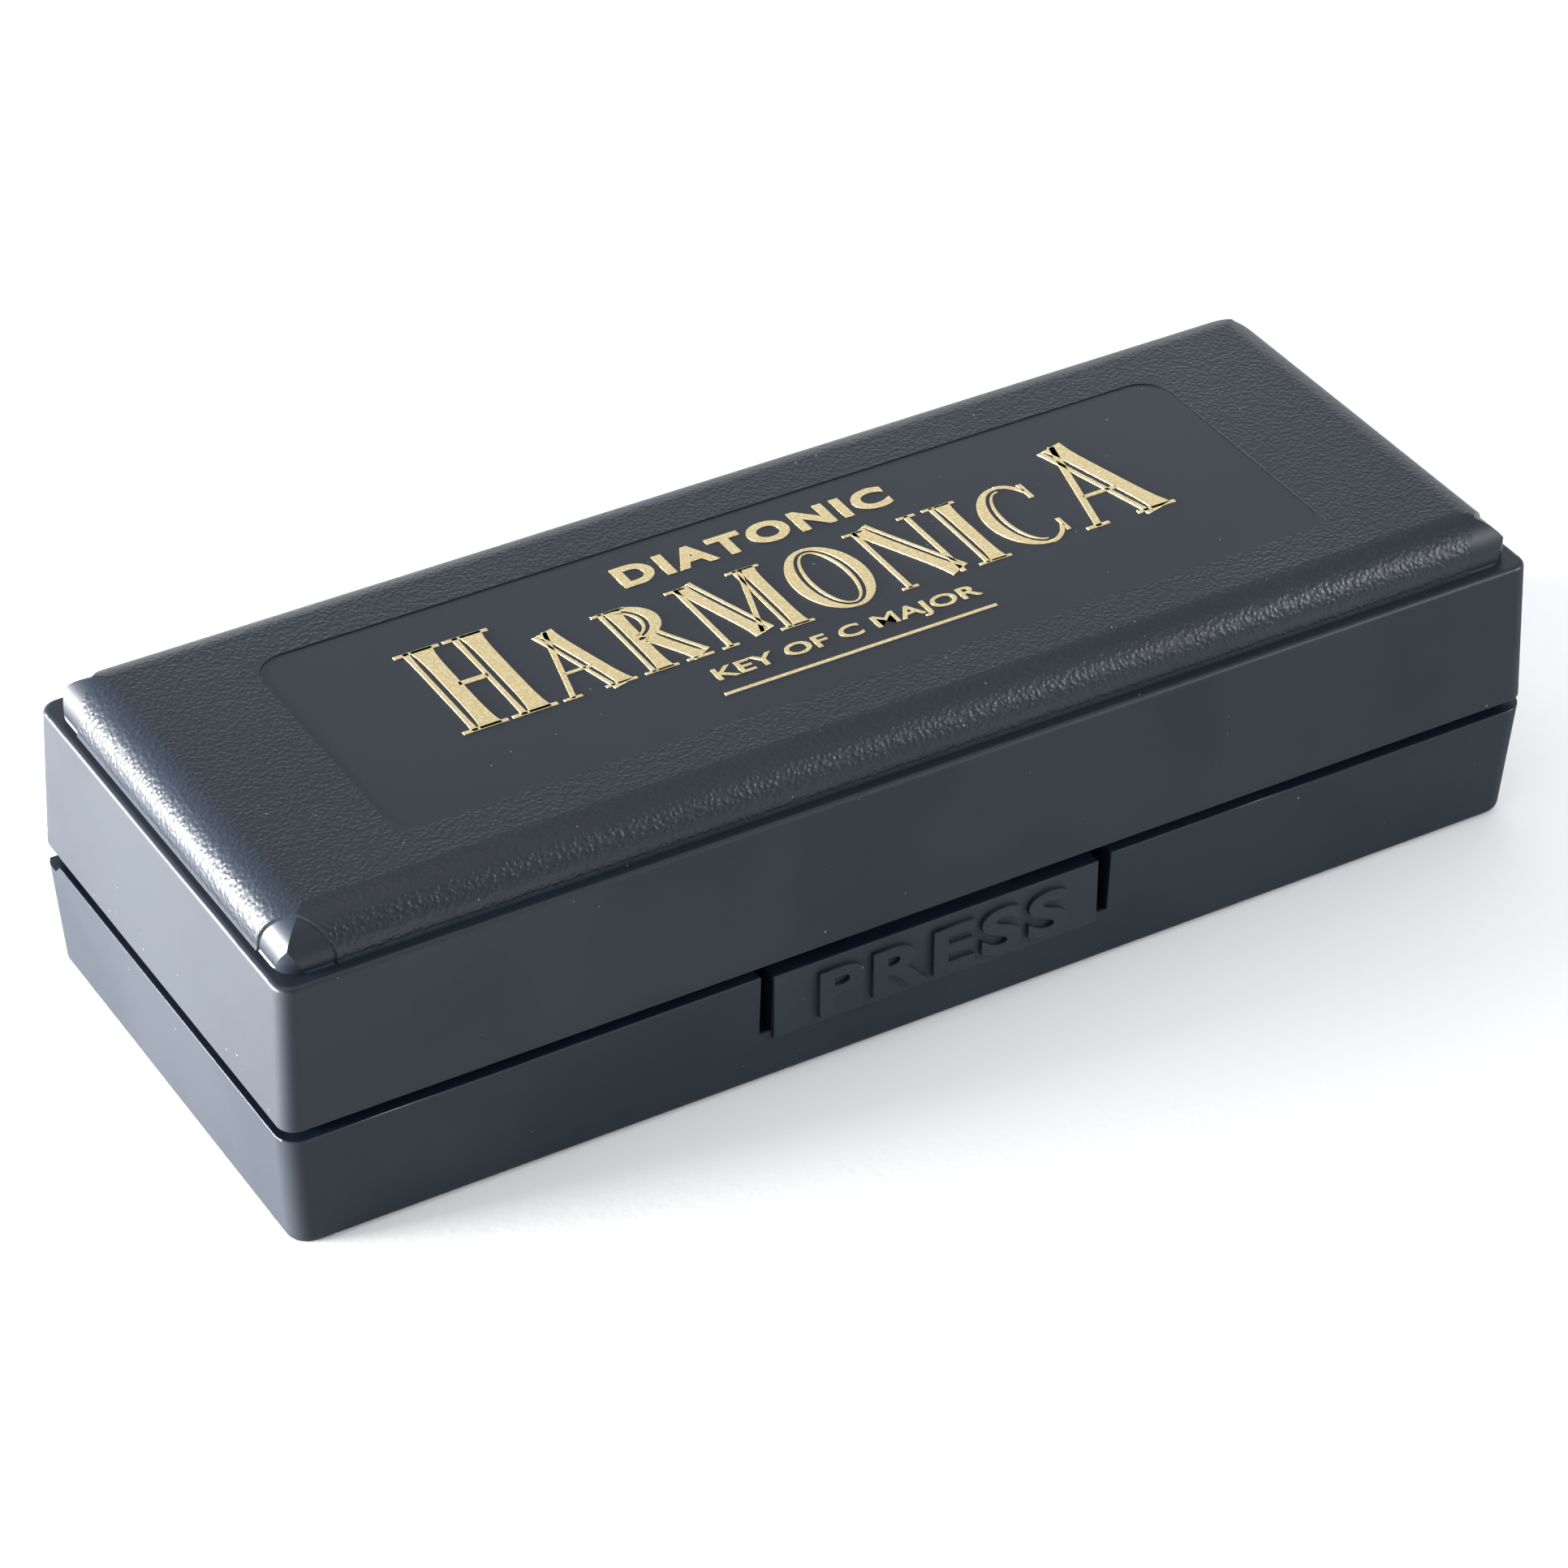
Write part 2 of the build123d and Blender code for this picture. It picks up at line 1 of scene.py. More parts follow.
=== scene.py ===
# %% [markdown]
# # A ten-hole harmonica in its hinged plastic case
#
# The case is a pair of moulded shells, 120 mm long, with a soft-looking crown on the lid, two pin
# hinges behind and a press latch in front. The harmonica lies inside. The working shapes arrive as a
# finished frame, so this lesson is about what turns them into an object you would believe: grain in
# the plastic, foil lettering, raised letters on the latch, brass and steel, and soft studio light.

# %% Frame
import math

import bmesh
import bpy
from mathutils import Matrix, Quaternion, Vector


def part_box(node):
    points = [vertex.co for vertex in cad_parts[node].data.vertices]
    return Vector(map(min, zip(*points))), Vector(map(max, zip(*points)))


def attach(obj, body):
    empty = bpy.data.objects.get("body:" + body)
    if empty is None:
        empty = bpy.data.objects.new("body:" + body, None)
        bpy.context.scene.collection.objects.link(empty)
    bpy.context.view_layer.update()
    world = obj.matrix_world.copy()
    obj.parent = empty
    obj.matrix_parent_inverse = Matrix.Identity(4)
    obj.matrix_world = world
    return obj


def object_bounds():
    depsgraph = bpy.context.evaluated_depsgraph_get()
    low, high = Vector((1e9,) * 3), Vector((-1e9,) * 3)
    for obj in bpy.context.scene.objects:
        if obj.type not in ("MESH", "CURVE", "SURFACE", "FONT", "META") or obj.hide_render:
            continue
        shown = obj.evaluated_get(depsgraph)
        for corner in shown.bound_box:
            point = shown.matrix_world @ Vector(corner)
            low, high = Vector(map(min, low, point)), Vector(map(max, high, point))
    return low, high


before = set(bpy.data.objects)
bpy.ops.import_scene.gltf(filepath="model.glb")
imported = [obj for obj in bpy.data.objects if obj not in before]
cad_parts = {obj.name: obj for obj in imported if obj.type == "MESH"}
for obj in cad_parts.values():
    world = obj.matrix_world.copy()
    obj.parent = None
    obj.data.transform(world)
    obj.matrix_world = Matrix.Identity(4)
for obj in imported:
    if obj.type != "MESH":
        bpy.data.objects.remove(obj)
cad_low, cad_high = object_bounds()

MM = 0.001
print("case box in mm:", [round(v / MM, 1) for v in (*cad_low, *cad_high)])

# %% [markdown]
# ## Where things are
#
# The crown's top, the latch tab's front and the foot of the case are read from the frame, so the lettering
# and the table sit at the case's own heights; the other places are given in millimetres. The lid's label
# panel is a smooth rectangle sunk by less than a tenth of a millimetre.

# %% Measures
_, lid_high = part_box("case_lid")
tab_low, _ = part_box("latch_tab")

CROWN_TOP = lid_high.z
CROWN_HEIGHT = 4.1 * MM
PANEL_SUNK = 0.08 * MM
PANEL_TOP = CROWN_TOP - PANEL_SUNK
PANEL_HALF = Vector((44.85, 13.6)) * MM
RIM_Z = CROWN_TOP - CROWN_HEIGHT
print("panel height in mm:", round(PANEL_TOP / MM, 2), "rim height in mm:", round(RIM_Z / MM, 2))

# %% [markdown]
# ## The camera
#
# A long lens from half a metre away keeps the far edges nearly parallel to the near ones. The camera
# is turned by a heading, a downward tilt and a very small roll, which reads better than a matrix.

# %% Camera
LENS_MM = 128.64
NEAREST_SEEN = 0.01
CAMERA_PLACE = Vector((-200.70, -335.43, 294.15)) * MM
HEADING, TILT, ROLL = math.radians(30.729), math.radians(35.983), math.radians(0.394)


def product_camera():
    """A camera at its place, aimed by its heading and tilt and then rolled."""
    level = math.cos(TILT)
    aim = Vector((level * math.sin(HEADING), level * math.cos(HEADING), -math.sin(TILT)))
    data = bpy.data.cameras.new("product_camera")
    data.lens = LENS_MM
    data.clip_start = NEAREST_SEEN
    camera = bpy.data.objects.new("product_camera", data)
    camera.location = CAMERA_PLACE
    camera.rotation_mode = "QUATERNION"
    camera.rotation_quaternion = aim.to_track_quat("-Z", "Y") @ Quaternion((0, 0, 1), ROLL)
    bpy.context.scene.collection.objects.link(camera)
    return camera


bpy.context.scene.camera = product_camera()
print("camera to the case in mm:", round(CAMERA_PLACE.length / MM))

# %% [markdown]
# ## Small helpers for shader nodes
#
# A material is a list of nodes and the wires between them. `wired` adds one node and fills its
# sockets: a plain value is typed in, and another node's socket is joined by a wire. With that, a
# material reads from top to bottom like a recipe.

# %% Node helpers


def wired(tree, kind, sockets=None, **settings):
    """Adds a node, sets its options, and fills its sockets with values or wires."""
    made = tree.nodes.new(kind)
    for name, value in settings.items():
        setattr(made, name, value)
    for name, value in (sockets or {}).items():
        if isinstance(value, bpy.types.NodeSocket):
            tree.links.new(value, made.inputs[name])
        else:
            made.inputs[name].default_value = value
    return made


def sums(tree, operation, a, b=0.0, c=0.0):
    """One arithmetic step on numbers or sockets."""
    return wired(tree, "ShaderNodeMath", {0: a, 1: b, 2: c}, operation=operation).outputs[0]


def size_of(tree, value):
    """A number without its sign."""
    return sums(tree, "ABSOLUTE", value)


def all_of(tree, *masks):
    """1 where every mask is 1."""
    product = masks[0]
    for mask in masks[1:]:
        product = sums(tree, "MULTIPLY", product, mask)
    return product


def spread(tree, value, low, high, to_low=0.0, to_high=1.0):
    """Maps a value from one span to another, smoothly and without running over."""
    sockets = {"Value": value, "From Min": low, "From Max": high, "To Min": to_low, "To Max": to_high}
    return wired(tree, "ShaderNodeMapRange", sockets, interpolation_type="SMOOTHSTEP").outputs[0]


def own_place(tree):
    """The place on the piece, in metres in the piece's own coordinates."""
    return tree.nodes.new("ShaderNodeTexCoord").outputs["Object"]


def own_axes(tree):
    """The place on the piece as three numbers."""
    return wired(tree, "ShaderNodeSeparateXYZ", {"Vector": own_place(tree)}).outputs


def noise(tree, where, scale, detail=2.0, output="Fac"):
    """Soft random variation, with its scale in repeats per metre."""
    sockets = {"Vector": where, "Scale": scale, "Detail": detail}
    return wired(tree, "ShaderNodeTexNoise", sockets).outputs[output]


def bumped(tree, height):
    """A surface direction bent by a height in metres."""
    return wired(tree, "ShaderNodeBump", {"Height": height, "Distance": 1.0}).outputs[0]


def blend_colours(tree, amount, first, second):
    """Goes from the first colour to the second as the amount goes from 0 to 1."""
    made = wired(tree, "ShaderNodeMix", data_type="RGBA")
    for socket, value in zip((made.inputs[0], made.inputs[6], made.inputs[7]), (amount, first, second)):
        if isinstance(value, bpy.types.NodeSocket):
            tree.links.new(value, socket)
        else:
            socket.default_value = value
    return made.outputs[2]


def new_group(name, inputs, outputs):
    """An empty node group with number inputs, given with their defaults, and number outputs."""
    tree = bpy.data.node_groups.new(name, "ShaderNodeTree")
    for socket, value in inputs.items():
        made = tree.interface.new_socket(socket, in_out="INPUT", socket_type="NodeSocketFloat")
        made.default_value = value
    for socket in outputs:
        tree.interface.new_socket(socket, in_out="OUTPUT", socket_type="NodeSocketFloat")
    return tree, tree.nodes.new("NodeGroupInput"), tree.nodes.new("NodeGroupOutput")


def use_group(tree, group, **values):
    """Places a group in a material. Underscores in the names stand for spaces."""
    made = tree.nodes.new("ShaderNodeGroup")
    made.node_tree = group
    for name, value in values.items():
        socket = made.inputs[name.replace("_", " ")]
        if isinstance(value, bpy.types.NodeSocket):
            tree.links.new(value, socket)
        else:
            socket.default_value = value
    return made


def new_material(name):
    """A material with a Principled shader, ready for its recipe."""
    material = bpy.data.materials.new(name)
    material.use_nodes = True
    tree = material.node_tree
    shader = next(n for n in tree.nodes if n.type == "BSDF_PRINCIPLED")
    return material, tree, shader


def feed(tree, shader, **sockets):
    """Types or wires values into the shader. Underscores in the names stand for spaces."""
    for name, value in sockets.items():
        socket = shader.inputs[name.replace("_", " ")]
        if isinstance(value, bpy.types.NodeSocket):
            tree.links.new(value, socket)
        else:
            socket.default_value = value


def dress(piece, material):
    """Gives every face of a piece the same material."""
    piece.data.materials.clear()
    piece.data.materials.append(material)


# %% [markdown]
# ## Shared effect: moulded grain
#
# The steel mould of the case was etched, so the plastic has a pebbled skin: low rounded bumps under
# half a millimetre wide, with shallow valleys between. A soft Voronoi pattern gives the bumps and a
# noise breaks them up, so that no two are alike. The group puts out a height, which each
# material turns into a bump of its own depth.

# %% Grain group
GRAIN_WARP = 0.35 * MM
GRAIN_SOFTNESS = 0.6
NOISE_SHARE = 0.9  # how much the noise adds to the pebbles
WARP_PITCH, NOISE_PITCH, FINE_PITCH = 0.5, 1.3, 3.5  # repeats per bump


def moulded_grain_group():
    """Puts out the height of the pebbles and the height of a much finer satin."""
    tree, given, out = new_group("moulded_grain", {"Bump Size": 0.45 * MM}, ["Height", "Fine Height"])
    where = own_place(tree)
    scale = sums(tree, "DIVIDE", 1.0, given.outputs["Bump Size"])
    warp = noise(tree, where, sums(tree, "MULTIPLY", scale, WARP_PITCH), output="Color")
    shift = wired(tree, "ShaderNodeVectorMath", {0: warp, "Scale": GRAIN_WARP}, operation="SCALE")
    moved = wired(tree, "ShaderNodeVectorMath", {0: where, 1: shift.outputs[0]}, operation="ADD")
    sockets = {"Vector": moved.outputs[0], "Scale": scale, "Smoothness": GRAIN_SOFTNESS}
    cells = wired(tree, "ShaderNodeTexVoronoi", sockets, feature="SMOOTH_F1")
    lumps = spread(tree, cells.outputs["Distance"], 0.05, 0.75, 1.0, 0.0)
    uneven = noise(tree, where, sums(tree, "MULTIPLY", scale, NOISE_PITCH), 3.0)
    tree.links.new(sums(tree, "MULTIPLY_ADD", uneven, NOISE_SHARE, lumps), out.inputs["Height"])
    fine = noise(tree, where, sums(tree, "MULTIPLY", scale, FINE_PITCH), 2.0)
    tree.links.new(fine, out.inputs["Fine Height"])
    return tree


MOULDED_GRAIN = moulded_grain_group()

# %% [markdown]
# ## Shared effect: dust and handling marks
#
# Black plastic never looks clean. A few pale specks sit on it, and broad patches are a little
# shinier where hands have been. Each speck is the middle of a Voronoi cell, and a random
# number per cell decides whether it is there at all.

# %% Dust group
SMALLEST_SPECK = 0.3  # as a share of the largest
PATCHES_PER_METRE = 0.045 / MM


def dust_group():
    """Puts out a mask of dust specks and a soft mask of patches worn shiny."""
    inputs = {"Speck Size": 0.1 * MM, "Spacing": 1.1 * MM, "Share": 0.12}
    tree, given, out = new_group("dust_and_handling", inputs, ["Specks", "Patches"])
    where = own_place(tree)
    scale = sums(tree, "DIVIDE", 1.0, given.outputs["Spacing"])
    cells = wired(tree, "ShaderNodeTexVoronoi", {"Vector": where, "Scale": scale})
    chance = wired(tree, "ShaderNodeSeparateColor", {"Color": cells.outputs["Color"]})
    chosen = sums(tree, "LESS_THAN", chance.outputs["Red"], given.outputs["Share"])
    varied = sums(tree, "MULTIPLY_ADD", chance.outputs["Green"], 1.0 - SMALLEST_SPECK, SMALLEST_SPECK)
    reach = all_of(tree, given.outputs["Speck Size"], scale, varied)
    near = sums(tree, "LESS_THAN", cells.outputs["Distance"], reach)
    tree.links.new(all_of(tree, near, chosen), out.inputs["Specks"])
    broad = noise(tree, where, PATCHES_PER_METRE, 3.0)
    tree.links.new(spread(tree, broad, 0.35, 0.7), out.inputs["Patches"])
    return tree


DUST = dust_group()

# %% [markdown]
# ## Shared effect: rolled and brushed metal
#
# Sheet metal keeps the lines of the rolls or the belt that finished it. Noise that is
# stretched along one direction makes such lines. The brass plates, the reeds and the covers all use
# it, each with its own spacing.

# %% Brushing group
STAINS_PER_METRE = 0.12 / MM


def brushing_group():
    """Puts out the height of fine parallel lines and a soft mask of stains."""
    inputs = {"Line Width": 0.08 * MM, "Line Length": 6 * MM}
    tree, given, out = new_group("brushed_lines", inputs, ["Lines", "Stains"])
    where = own_place(tree)
    along = sums(tree, "DIVIDE", 1.0, given.outputs["Line Length"])
    across = sums(tree, "DIVIDE", 1.0, given.outputs["Line Width"])
    factors = wired(tree, "ShaderNodeCombineXYZ", {"X": along, "Y": across, "Z": across})
    stretched = wired(tree, "ShaderNodeVectorMath", {0: where, 1: factors.outputs[0]}, operation="MULTIPLY")
    tree.links.new(noise(tree, stretched.outputs[0], 1.0), out.inputs["Lines"])
    stains = noise(tree, where, STAINS_PER_METRE, 4.0)
    tree.links.new(spread(tree, stains, 0.4, 0.75), out.inputs["Stains"])
    return tree


BRUSHING = brushing_group()

# %% [markdown]
# ## The case plastic
#
# The plastic is a very dark blue grey. Nearly all the light that it sends back is surface
# gloss, so its look comes from roughness and grain far more than from its colour. One recipe makes
# all of it, and masks made from the place on the piece say which finish goes where. The crown of
# the lid is glossier and pebbled, apart from the label panel and the four corner caps. The outer
# walls have a faint satin. The faces inside and the parting edges keep the polish of the mould.

# %% Plastic
PLASTIC_DARK = (0.0050, 0.0100, 0.0190, 1)
PLASTIC_WORN = (0.0085, 0.0140, 0.0235, 1)
PLASTIC_IOR = 1.46
DUST_COLOUR = (0.30, 0.31, 0.32, 1)
DUST_COVER = 0.6
PEBBLE_SIZE, PEBBLE_DEPTH = 0.42 * MM, 0.030 * MM
SATIN_DEPTH = 0.006 * MM
CROWN_GLOSS = 0.30  # taken off the roughness above the rim
HANDLED_GLOSS = 0.03  # taken off where hands have been, and added elsewhere
INSIDE_ROUGHNESS = 0.26
PEBBLES_START = (RIM_Z + 0.15 * MM, RIM_Z + 0.60 * MM)
GLOSS_START = (RIM_Z - 0.40 * MM, RIM_Z - 0.15 * MM)
BASE_FOOT_HALF, BASE_LEAN = 59.8 * MM, 0.07
LID_ROOT_HALF, LID_LEAN = 60.85 * MM, -0.033
LONGER_BY = 37.25 * MM  # half the difference between the box's length and width
SKIN = 0.25 * MM
CORNER_CUT = 1.6 * MM  # keeps the rounded outer corners out of the polished part
FOOT_BAND = 1.2 * MM
SEAM_OUT, SEAM_LEAN = 75.75 * MM, 0.15
PARTING = (11.37 * MM, 12.48 * MM)


def corner_mask(tree):
    """1 on the four smooth corner caps of the crown, beyond their leaning 45 degree seams."""
    x, y, z = own_axes(tree)
    out = sums(tree, "ADD", size_of(tree, x), size_of(tree, y))
    past = sums(tree, "MULTIPLY_ADD", sums(tree, "SUBTRACT", z, RIM_Z), SEAM_LEAN, out)
    beyond_seam = sums(tree, "GREATER_THAN", past, SEAM_OUT)
    above_ledge = sums(tree, "GREATER_THAN", z, RIM_Z + SKIN / 2)
    return all_of(tree, beyond_seam, above_ledge)


def crown_mask(tree):
    """1 on the pebbled crown, 0 on the walls, the rim, the label panel and the corner caps."""
    x, y, z = own_axes(tree)
    beyond_x = sums(tree, "GREATER_THAN", size_of(tree, x), PANEL_HALF.x)
    beyond_y = sums(tree, "GREATER_THAN", size_of(tree, y), PANEL_HALF.y)
    beyond_panel = sums(tree, "MAXIMUM", beyond_x, beyond_y)
    off_corners = sums(tree, "SUBTRACT", 1.0, corner_mask(tree))
    return all_of(tree, spread(tree, z, *PEBBLES_START), beyond_panel, off_corners)


def polished_mask(tree):
    """1 on the faces inside the box and on its parting edges, and 0 outside."""
    x, y, z = own_axes(tree)
    base_wall = sums(tree, "MULTIPLY_ADD", z, BASE_LEAN, BASE_FOOT_HALF)
    lid_wall = sums(tree, "MULTIPLY_ADD", z, LID_LEAN, LID_ROOT_HALF)
    wall = sums(tree, "SUBTRACT", sums(tree, "MINIMUM", base_wall, lid_wall), SKIN)
    within_x = sums(tree, "LESS_THAN", size_of(tree, x), wall)
    within_y = sums(tree, "LESS_THAN", size_of(tree, y), sums(tree, "SUBTRACT", wall, LONGER_BY))
    out = sums(tree, "ADD", size_of(tree, x), size_of(tree, y))
    diagonal = sums(tree, "MULTIPLY_ADD", wall, 2.0, -(LONGER_BY + CORNER_CUT))
    within_corner = sums(tree, "LESS_THAN", out, diagonal)
    above_foot = sums(tree, "GREATER_THAN", z, FOOT_BAND)
    below_rim = sums(tree, "LESS_THAN", z, RIM_Z - SKIN)
    inside = all_of(tree, within_x, within_y, within_corner, above_foot, below_rim)
    over_base = sums(tree, "GREATER_THAN", z, PARTING[0])
    under_lid = sums(tree, "LESS_THAN", z, PARTING[1])
    return sums(tree, "MAXIMUM", inside, all_of(tree, over_base, under_lid))


def case_plastic(name, roughness, pebbled=False):
    """The moulded plastic of one piece, with the crown's pebbles and gloss where asked for."""
    material, tree, shader = new_material(name)
    grain = use_group(tree, MOULDED_GRAIN, Bump_Size=PEBBLE_SIZE)
    specks, patches = use_group(tree, DUST).outputs
    colour = blend_colours(tree, patches, PLASTIC_DARK, PLASTIC_WORN)
    colour = blend_colours(tree, sums(tree, "MULTIPLY", specks, DUST_COVER), colour, DUST_COLOUR)
    height = sums(tree, "MULTIPLY", grain.outputs["Fine Height"], SATIN_DEPTH)
    rough = spread(tree, patches, 0.0, 1.0, roughness + HANDLED_GLOSS, roughness - HANDLED_GLOSS)
    if pebbled:
        depth = sums(tree, "MULTIPLY", crown_mask(tree), PEBBLE_DEPTH)
        height = sums(tree, "ADD", height, sums(tree, "MULTIPLY", grain.outputs["Height"], depth))
        glossy = spread(tree, own_axes(tree)[2], *GLOSS_START)
        rough = sums(tree, "SUBTRACT", rough, sums(tree, "MULTIPLY", glossy, CROWN_GLOSS))
    to_polish = sums(tree, "SUBTRACT", INSIDE_ROUGHNESS, rough)
    rough = sums(tree, "MULTIPLY_ADD", polished_mask(tree), to_polish, rough)
    feed(tree, shader, Base_Color=colour, Roughness=rough, Normal=bumped(tree, height), IOR=PLASTIC_IOR)
    return material


LID_PLASTIC = case_plastic("lid_plastic", 0.68, pebbled=True)
BASE_PLASTIC = case_plastic("base_plastic", 0.77)
TAB_PLASTIC = case_plastic("latch_plastic", 0.60)
for node, plastic in (("case_lid", LID_PLASTIC), ("case_base", BASE_PLASTIC), ("latch_tab", TAB_PLASTIC)):
    dress(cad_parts[node], plastic)
print("plastics:", LID_PLASTIC.name, BASE_PLASTIC.name, TAB_PLASTIC.name)

# %% [markdown]
# ## The metals and the comb
#
# Reed plates and reeds are brass: the plates are rolled and a little stained, and the reeds are
# filed brighter. The covers are stainless sheet, polished along their length and marked by fingers.
# Bolts, nuts and hinge pins are plated steel. The comb is a plain black moulding with a softer gloss
# than the case.

# %% Metals and comb


STAIN_STRENGTH = 0.6
COMB_DARK = (0.010, 0.010, 0.011, 1)
COMB_WORN = (0.018, 0.018, 0.019, 1)
COMB_GRAIN_SIZE, COMB_GRAIN_DEPTH = 0.9 * MM, 0.003 * MM


def sheet_metal(name, colour, stain_colour, roughness, line_width, line_depth):
    """Rolled or brushed metal: its clean and stained colours, its gloss and its lines."""
    material, tree, shader = new_material(name)
    lines, stains = use_group(tree, BRUSHING, Line_Width=line_width).outputs
    tone = blend_colours(tree, sums(tree, "MULTIPLY", stains, STAIN_STRENGTH), colour, stain_colour)
    stained = sums(tree, "MULTIPLY_ADD", stains, 0.1, roughness - 0.06)
    rough = sums(tree, "MULTIPLY_ADD", lines, 0.12, stained)
    bent = bumped(tree, sums(tree, "MULTIPLY", lines, line_depth))
    feed(tree, shader, Base_Color=tone, Metallic=1.0, Roughness=rough, Normal=bent)
    return material


def comb_plastic():
    """The comb's plain black moulding."""
    material, tree, shader = new_material("comb_plastic")
    grain = use_group(tree, MOULDED_GRAIN, Bump_Size=COMB_GRAIN_SIZE)
    patches = use_group(tree, DUST).outputs["Patches"]
    colour = blend_colours(tree, patches, COMB_DARK, COMB_WORN)
    bent = bumped(tree, sums(tree, "MULTIPLY", grain.outputs["Fine Height"], COMB_GRAIN_DEPTH))
    rough = spread(tree, patches, 0.0, 1.0, 0.34, 0.26)
    feed(tree, shader, Base_Color=colour, Roughness=rough, Normal=bent)
    return material


METAL_RECIPES = {
    "plate_brass": ((0.72, 0.50, 0.20, 1), (0.48, 0.30, 0.11, 1), 0.30, 0.10 * MM, 0.0015 * MM),
    "reed_brass": ((0.86, 0.63, 0.28, 1), (0.66, 0.44, 0.17, 1), 0.24, 0.05 * MM, 0.001 * MM),
    "cover_steel": ((0.66, 0.66, 0.65, 1), (0.52, 0.52, 0.53, 1), 0.17, 0.06 * MM, 0.0008 * MM),
    "bolt_steel": ((0.58, 0.57, 0.56, 1), (0.40, 0.39, 0.38, 1), 0.28, 0.12 * MM, 0.001 * MM),
}
METALS = {name: sheet_metal(name, *recipe) for name, recipe in METAL_RECIPES.items()}
FINISHES = {
    "comb": comb_plastic(),
    "reed_plate": METALS["plate_brass"],
    "blow_reed": METALS["reed_brass"],
    "draw_reed": METALS["reed_brass"],
    "blow_reed_rivets": METALS["plate_brass"],
    "draw_reed_rivets": METALS["plate_brass"],
    "reed_plate_screws": METALS["bolt_steel"],
    "cover": METALS["cover_steel"],
    "cover_bolts": METALS["bolt_steel"],
    "cover_nuts": METALS["bolt_steel"],
    "hinge_pin": METALS["bolt_steel"],
}
dressed = 0
for node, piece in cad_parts.items():
    fitting = [start for start in FINISHES if node.startswith(start)]
    if fitting:
        dress(piece, FINISHES[max(fitting, key=len)])
        dressed += 1
print("metal and comb nodes dressed:", dressed)

# %% [markdown]
# ## Gold foil
#
# The lettering is hot-stamped: a heated die presses a thin gold film into the smooth panel. The film
# is bright, with tiny pits where the plastic under it wasn't flat and a soft edge where the die
# stopped. So the letters are real low shapes with rounded edges, and the material adds the pits.

# %% Foil material
FOIL_DEEP = (0.82, 0.67, 0.36, 1)
FOIL_PALE = (0.93, 0.81, 0.51, 1)
PIT_SIZE, PIT_DEPTH = 0.30 * MM, 0.006 * MM


def foil():
    """Pressed gold foil, darker and rougher in its pits."""
    material, tree, shader = new_material("gold_foil")
    grain, fine = use_group(tree, MOULDED_GRAIN, Bump_Size=PIT_SIZE).outputs
    tone = blend_colours(tree, spread(tree, grain, 0.5, 1.3), FOIL_DEEP, FOIL_PALE)
    bent = bumped(tree, sums(tree, "MULTIPLY", grain, PIT_DEPTH))
    rough = spread(tree, fine, 0.3, 0.7, 0.36, 0.50)
    feed(tree, shader, Base_Color=tone, Metallic=1.0, Roughness=rough, Normal=bent)
    return material


GOLD_FOIL = foil()

# %% [markdown]
# ## The plain lettering
#
# Three of the four lettered lines are plain block capitals. Blender's own font makes them: the
# outline is thickened for weight, given a small depth and a rounded edge, turned into a mesh, and
# stretched to the length and height that its line has. The words are ordinary ones: what
# it is, and its key.

# %% Block lettering
BEVEL_STEPS, CURVE_STEPS = 2, 6
LETTER_SPREAD = 6.0  # heavier letters need more room


def block_letters(name, words, weight, depth, rounding):
    """A line of raised capitals lying flat, one unit high, as a mesh object."""
    text = bpy.data.curves.new(name, "FONT")
    text.body = words
    text.offset = weight
    text.extrude = depth
    text.bevel_depth = rounding
    text.bevel_resolution = BEVEL_STEPS
    text.space_character = 1.0 + LETTER_SPREAD * weight
    text.resolution_u = CURVE_STEPS
    shape = bpy.data.objects.new(name + "_outline", text)
    bpy.context.scene.collection.objects.link(shape)
    bpy.context.view_layer.update()
    evaluated = shape.evaluated_get(bpy.context.evaluated_depsgraph_get())
    mesh = bpy.data.meshes.new_from_object(evaluated)
    bpy.data.objects.remove(shape)
    piece = bpy.data.objects.new(name, mesh)
    bpy.context.scene.collection.objects.link(piece)
    return piece


def fit_flat(piece, low, high, thickness):
    """Stretches a flat piece to a rectangle, with its underside at height 0."""
    points = [v.co for v in piece.data.vertices]
    least = [min(p[i] for p in points) for i in range(3)]
    most = [max(p[i] for p in points) for i in range(3)]
    spans = [most[i] - least[i] for i in range(3)]
    scale = ((high[0] - low[0]) / spans[0], (high[1] - low[1]) / spans[1], thickness / spans[2])
    for p in points:
        x, y = (low[i] + (p[i] - least[i]) * scale[i] for i in (0, 1))
        p.xyz = (x, y, (p.z - least[2]) * scale[2])


def finish_piece(piece, material, body):
    """Material and body for one added piece, with its face count printed."""
    dress(piece, material)
    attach(piece, body)
    print(piece.name, "faces:", len(piece.data.polygons))


FOIL_HEIGHT = 0.07 * MM
FOIL_LINES = {
    "foil_upper_line": ("DIATONIC", 0.035, (-12.3, 7.75), (14.3, 10.9)),
    "foil_lower_line": ("KEY OF C MAJOR", 0.006, (-12.2, -8.45), (13.4, -6.2)),
}
for name, (words, weight, low, high) in FOIL_LINES.items():
    line = block_letters(name, words, weight, 0.02, 0.012)
    fit_flat(line, [v * MM for v in low], [v * MM for v in high], FOIL_HEIGHT)
    line.data.transform(Matrix.Translation((0, 0, PANEL_TOP)))
    finish_piece(line, GOLD_FOIL, "lid")

# %% [markdown]
# ## The display lettering
#
# The large middle line is drawn, not typed: each letter is built from pen strokes. A strong stroke
# is a wide bar that flares at both ends, with a hairline beside it and a thin gap between them. A
# light stroke is one narrow bar. Round letters are strokes along an ellipse, wide at the sides and
# narrow at top and bottom. Letters are one unit high and are scaled as they are set.

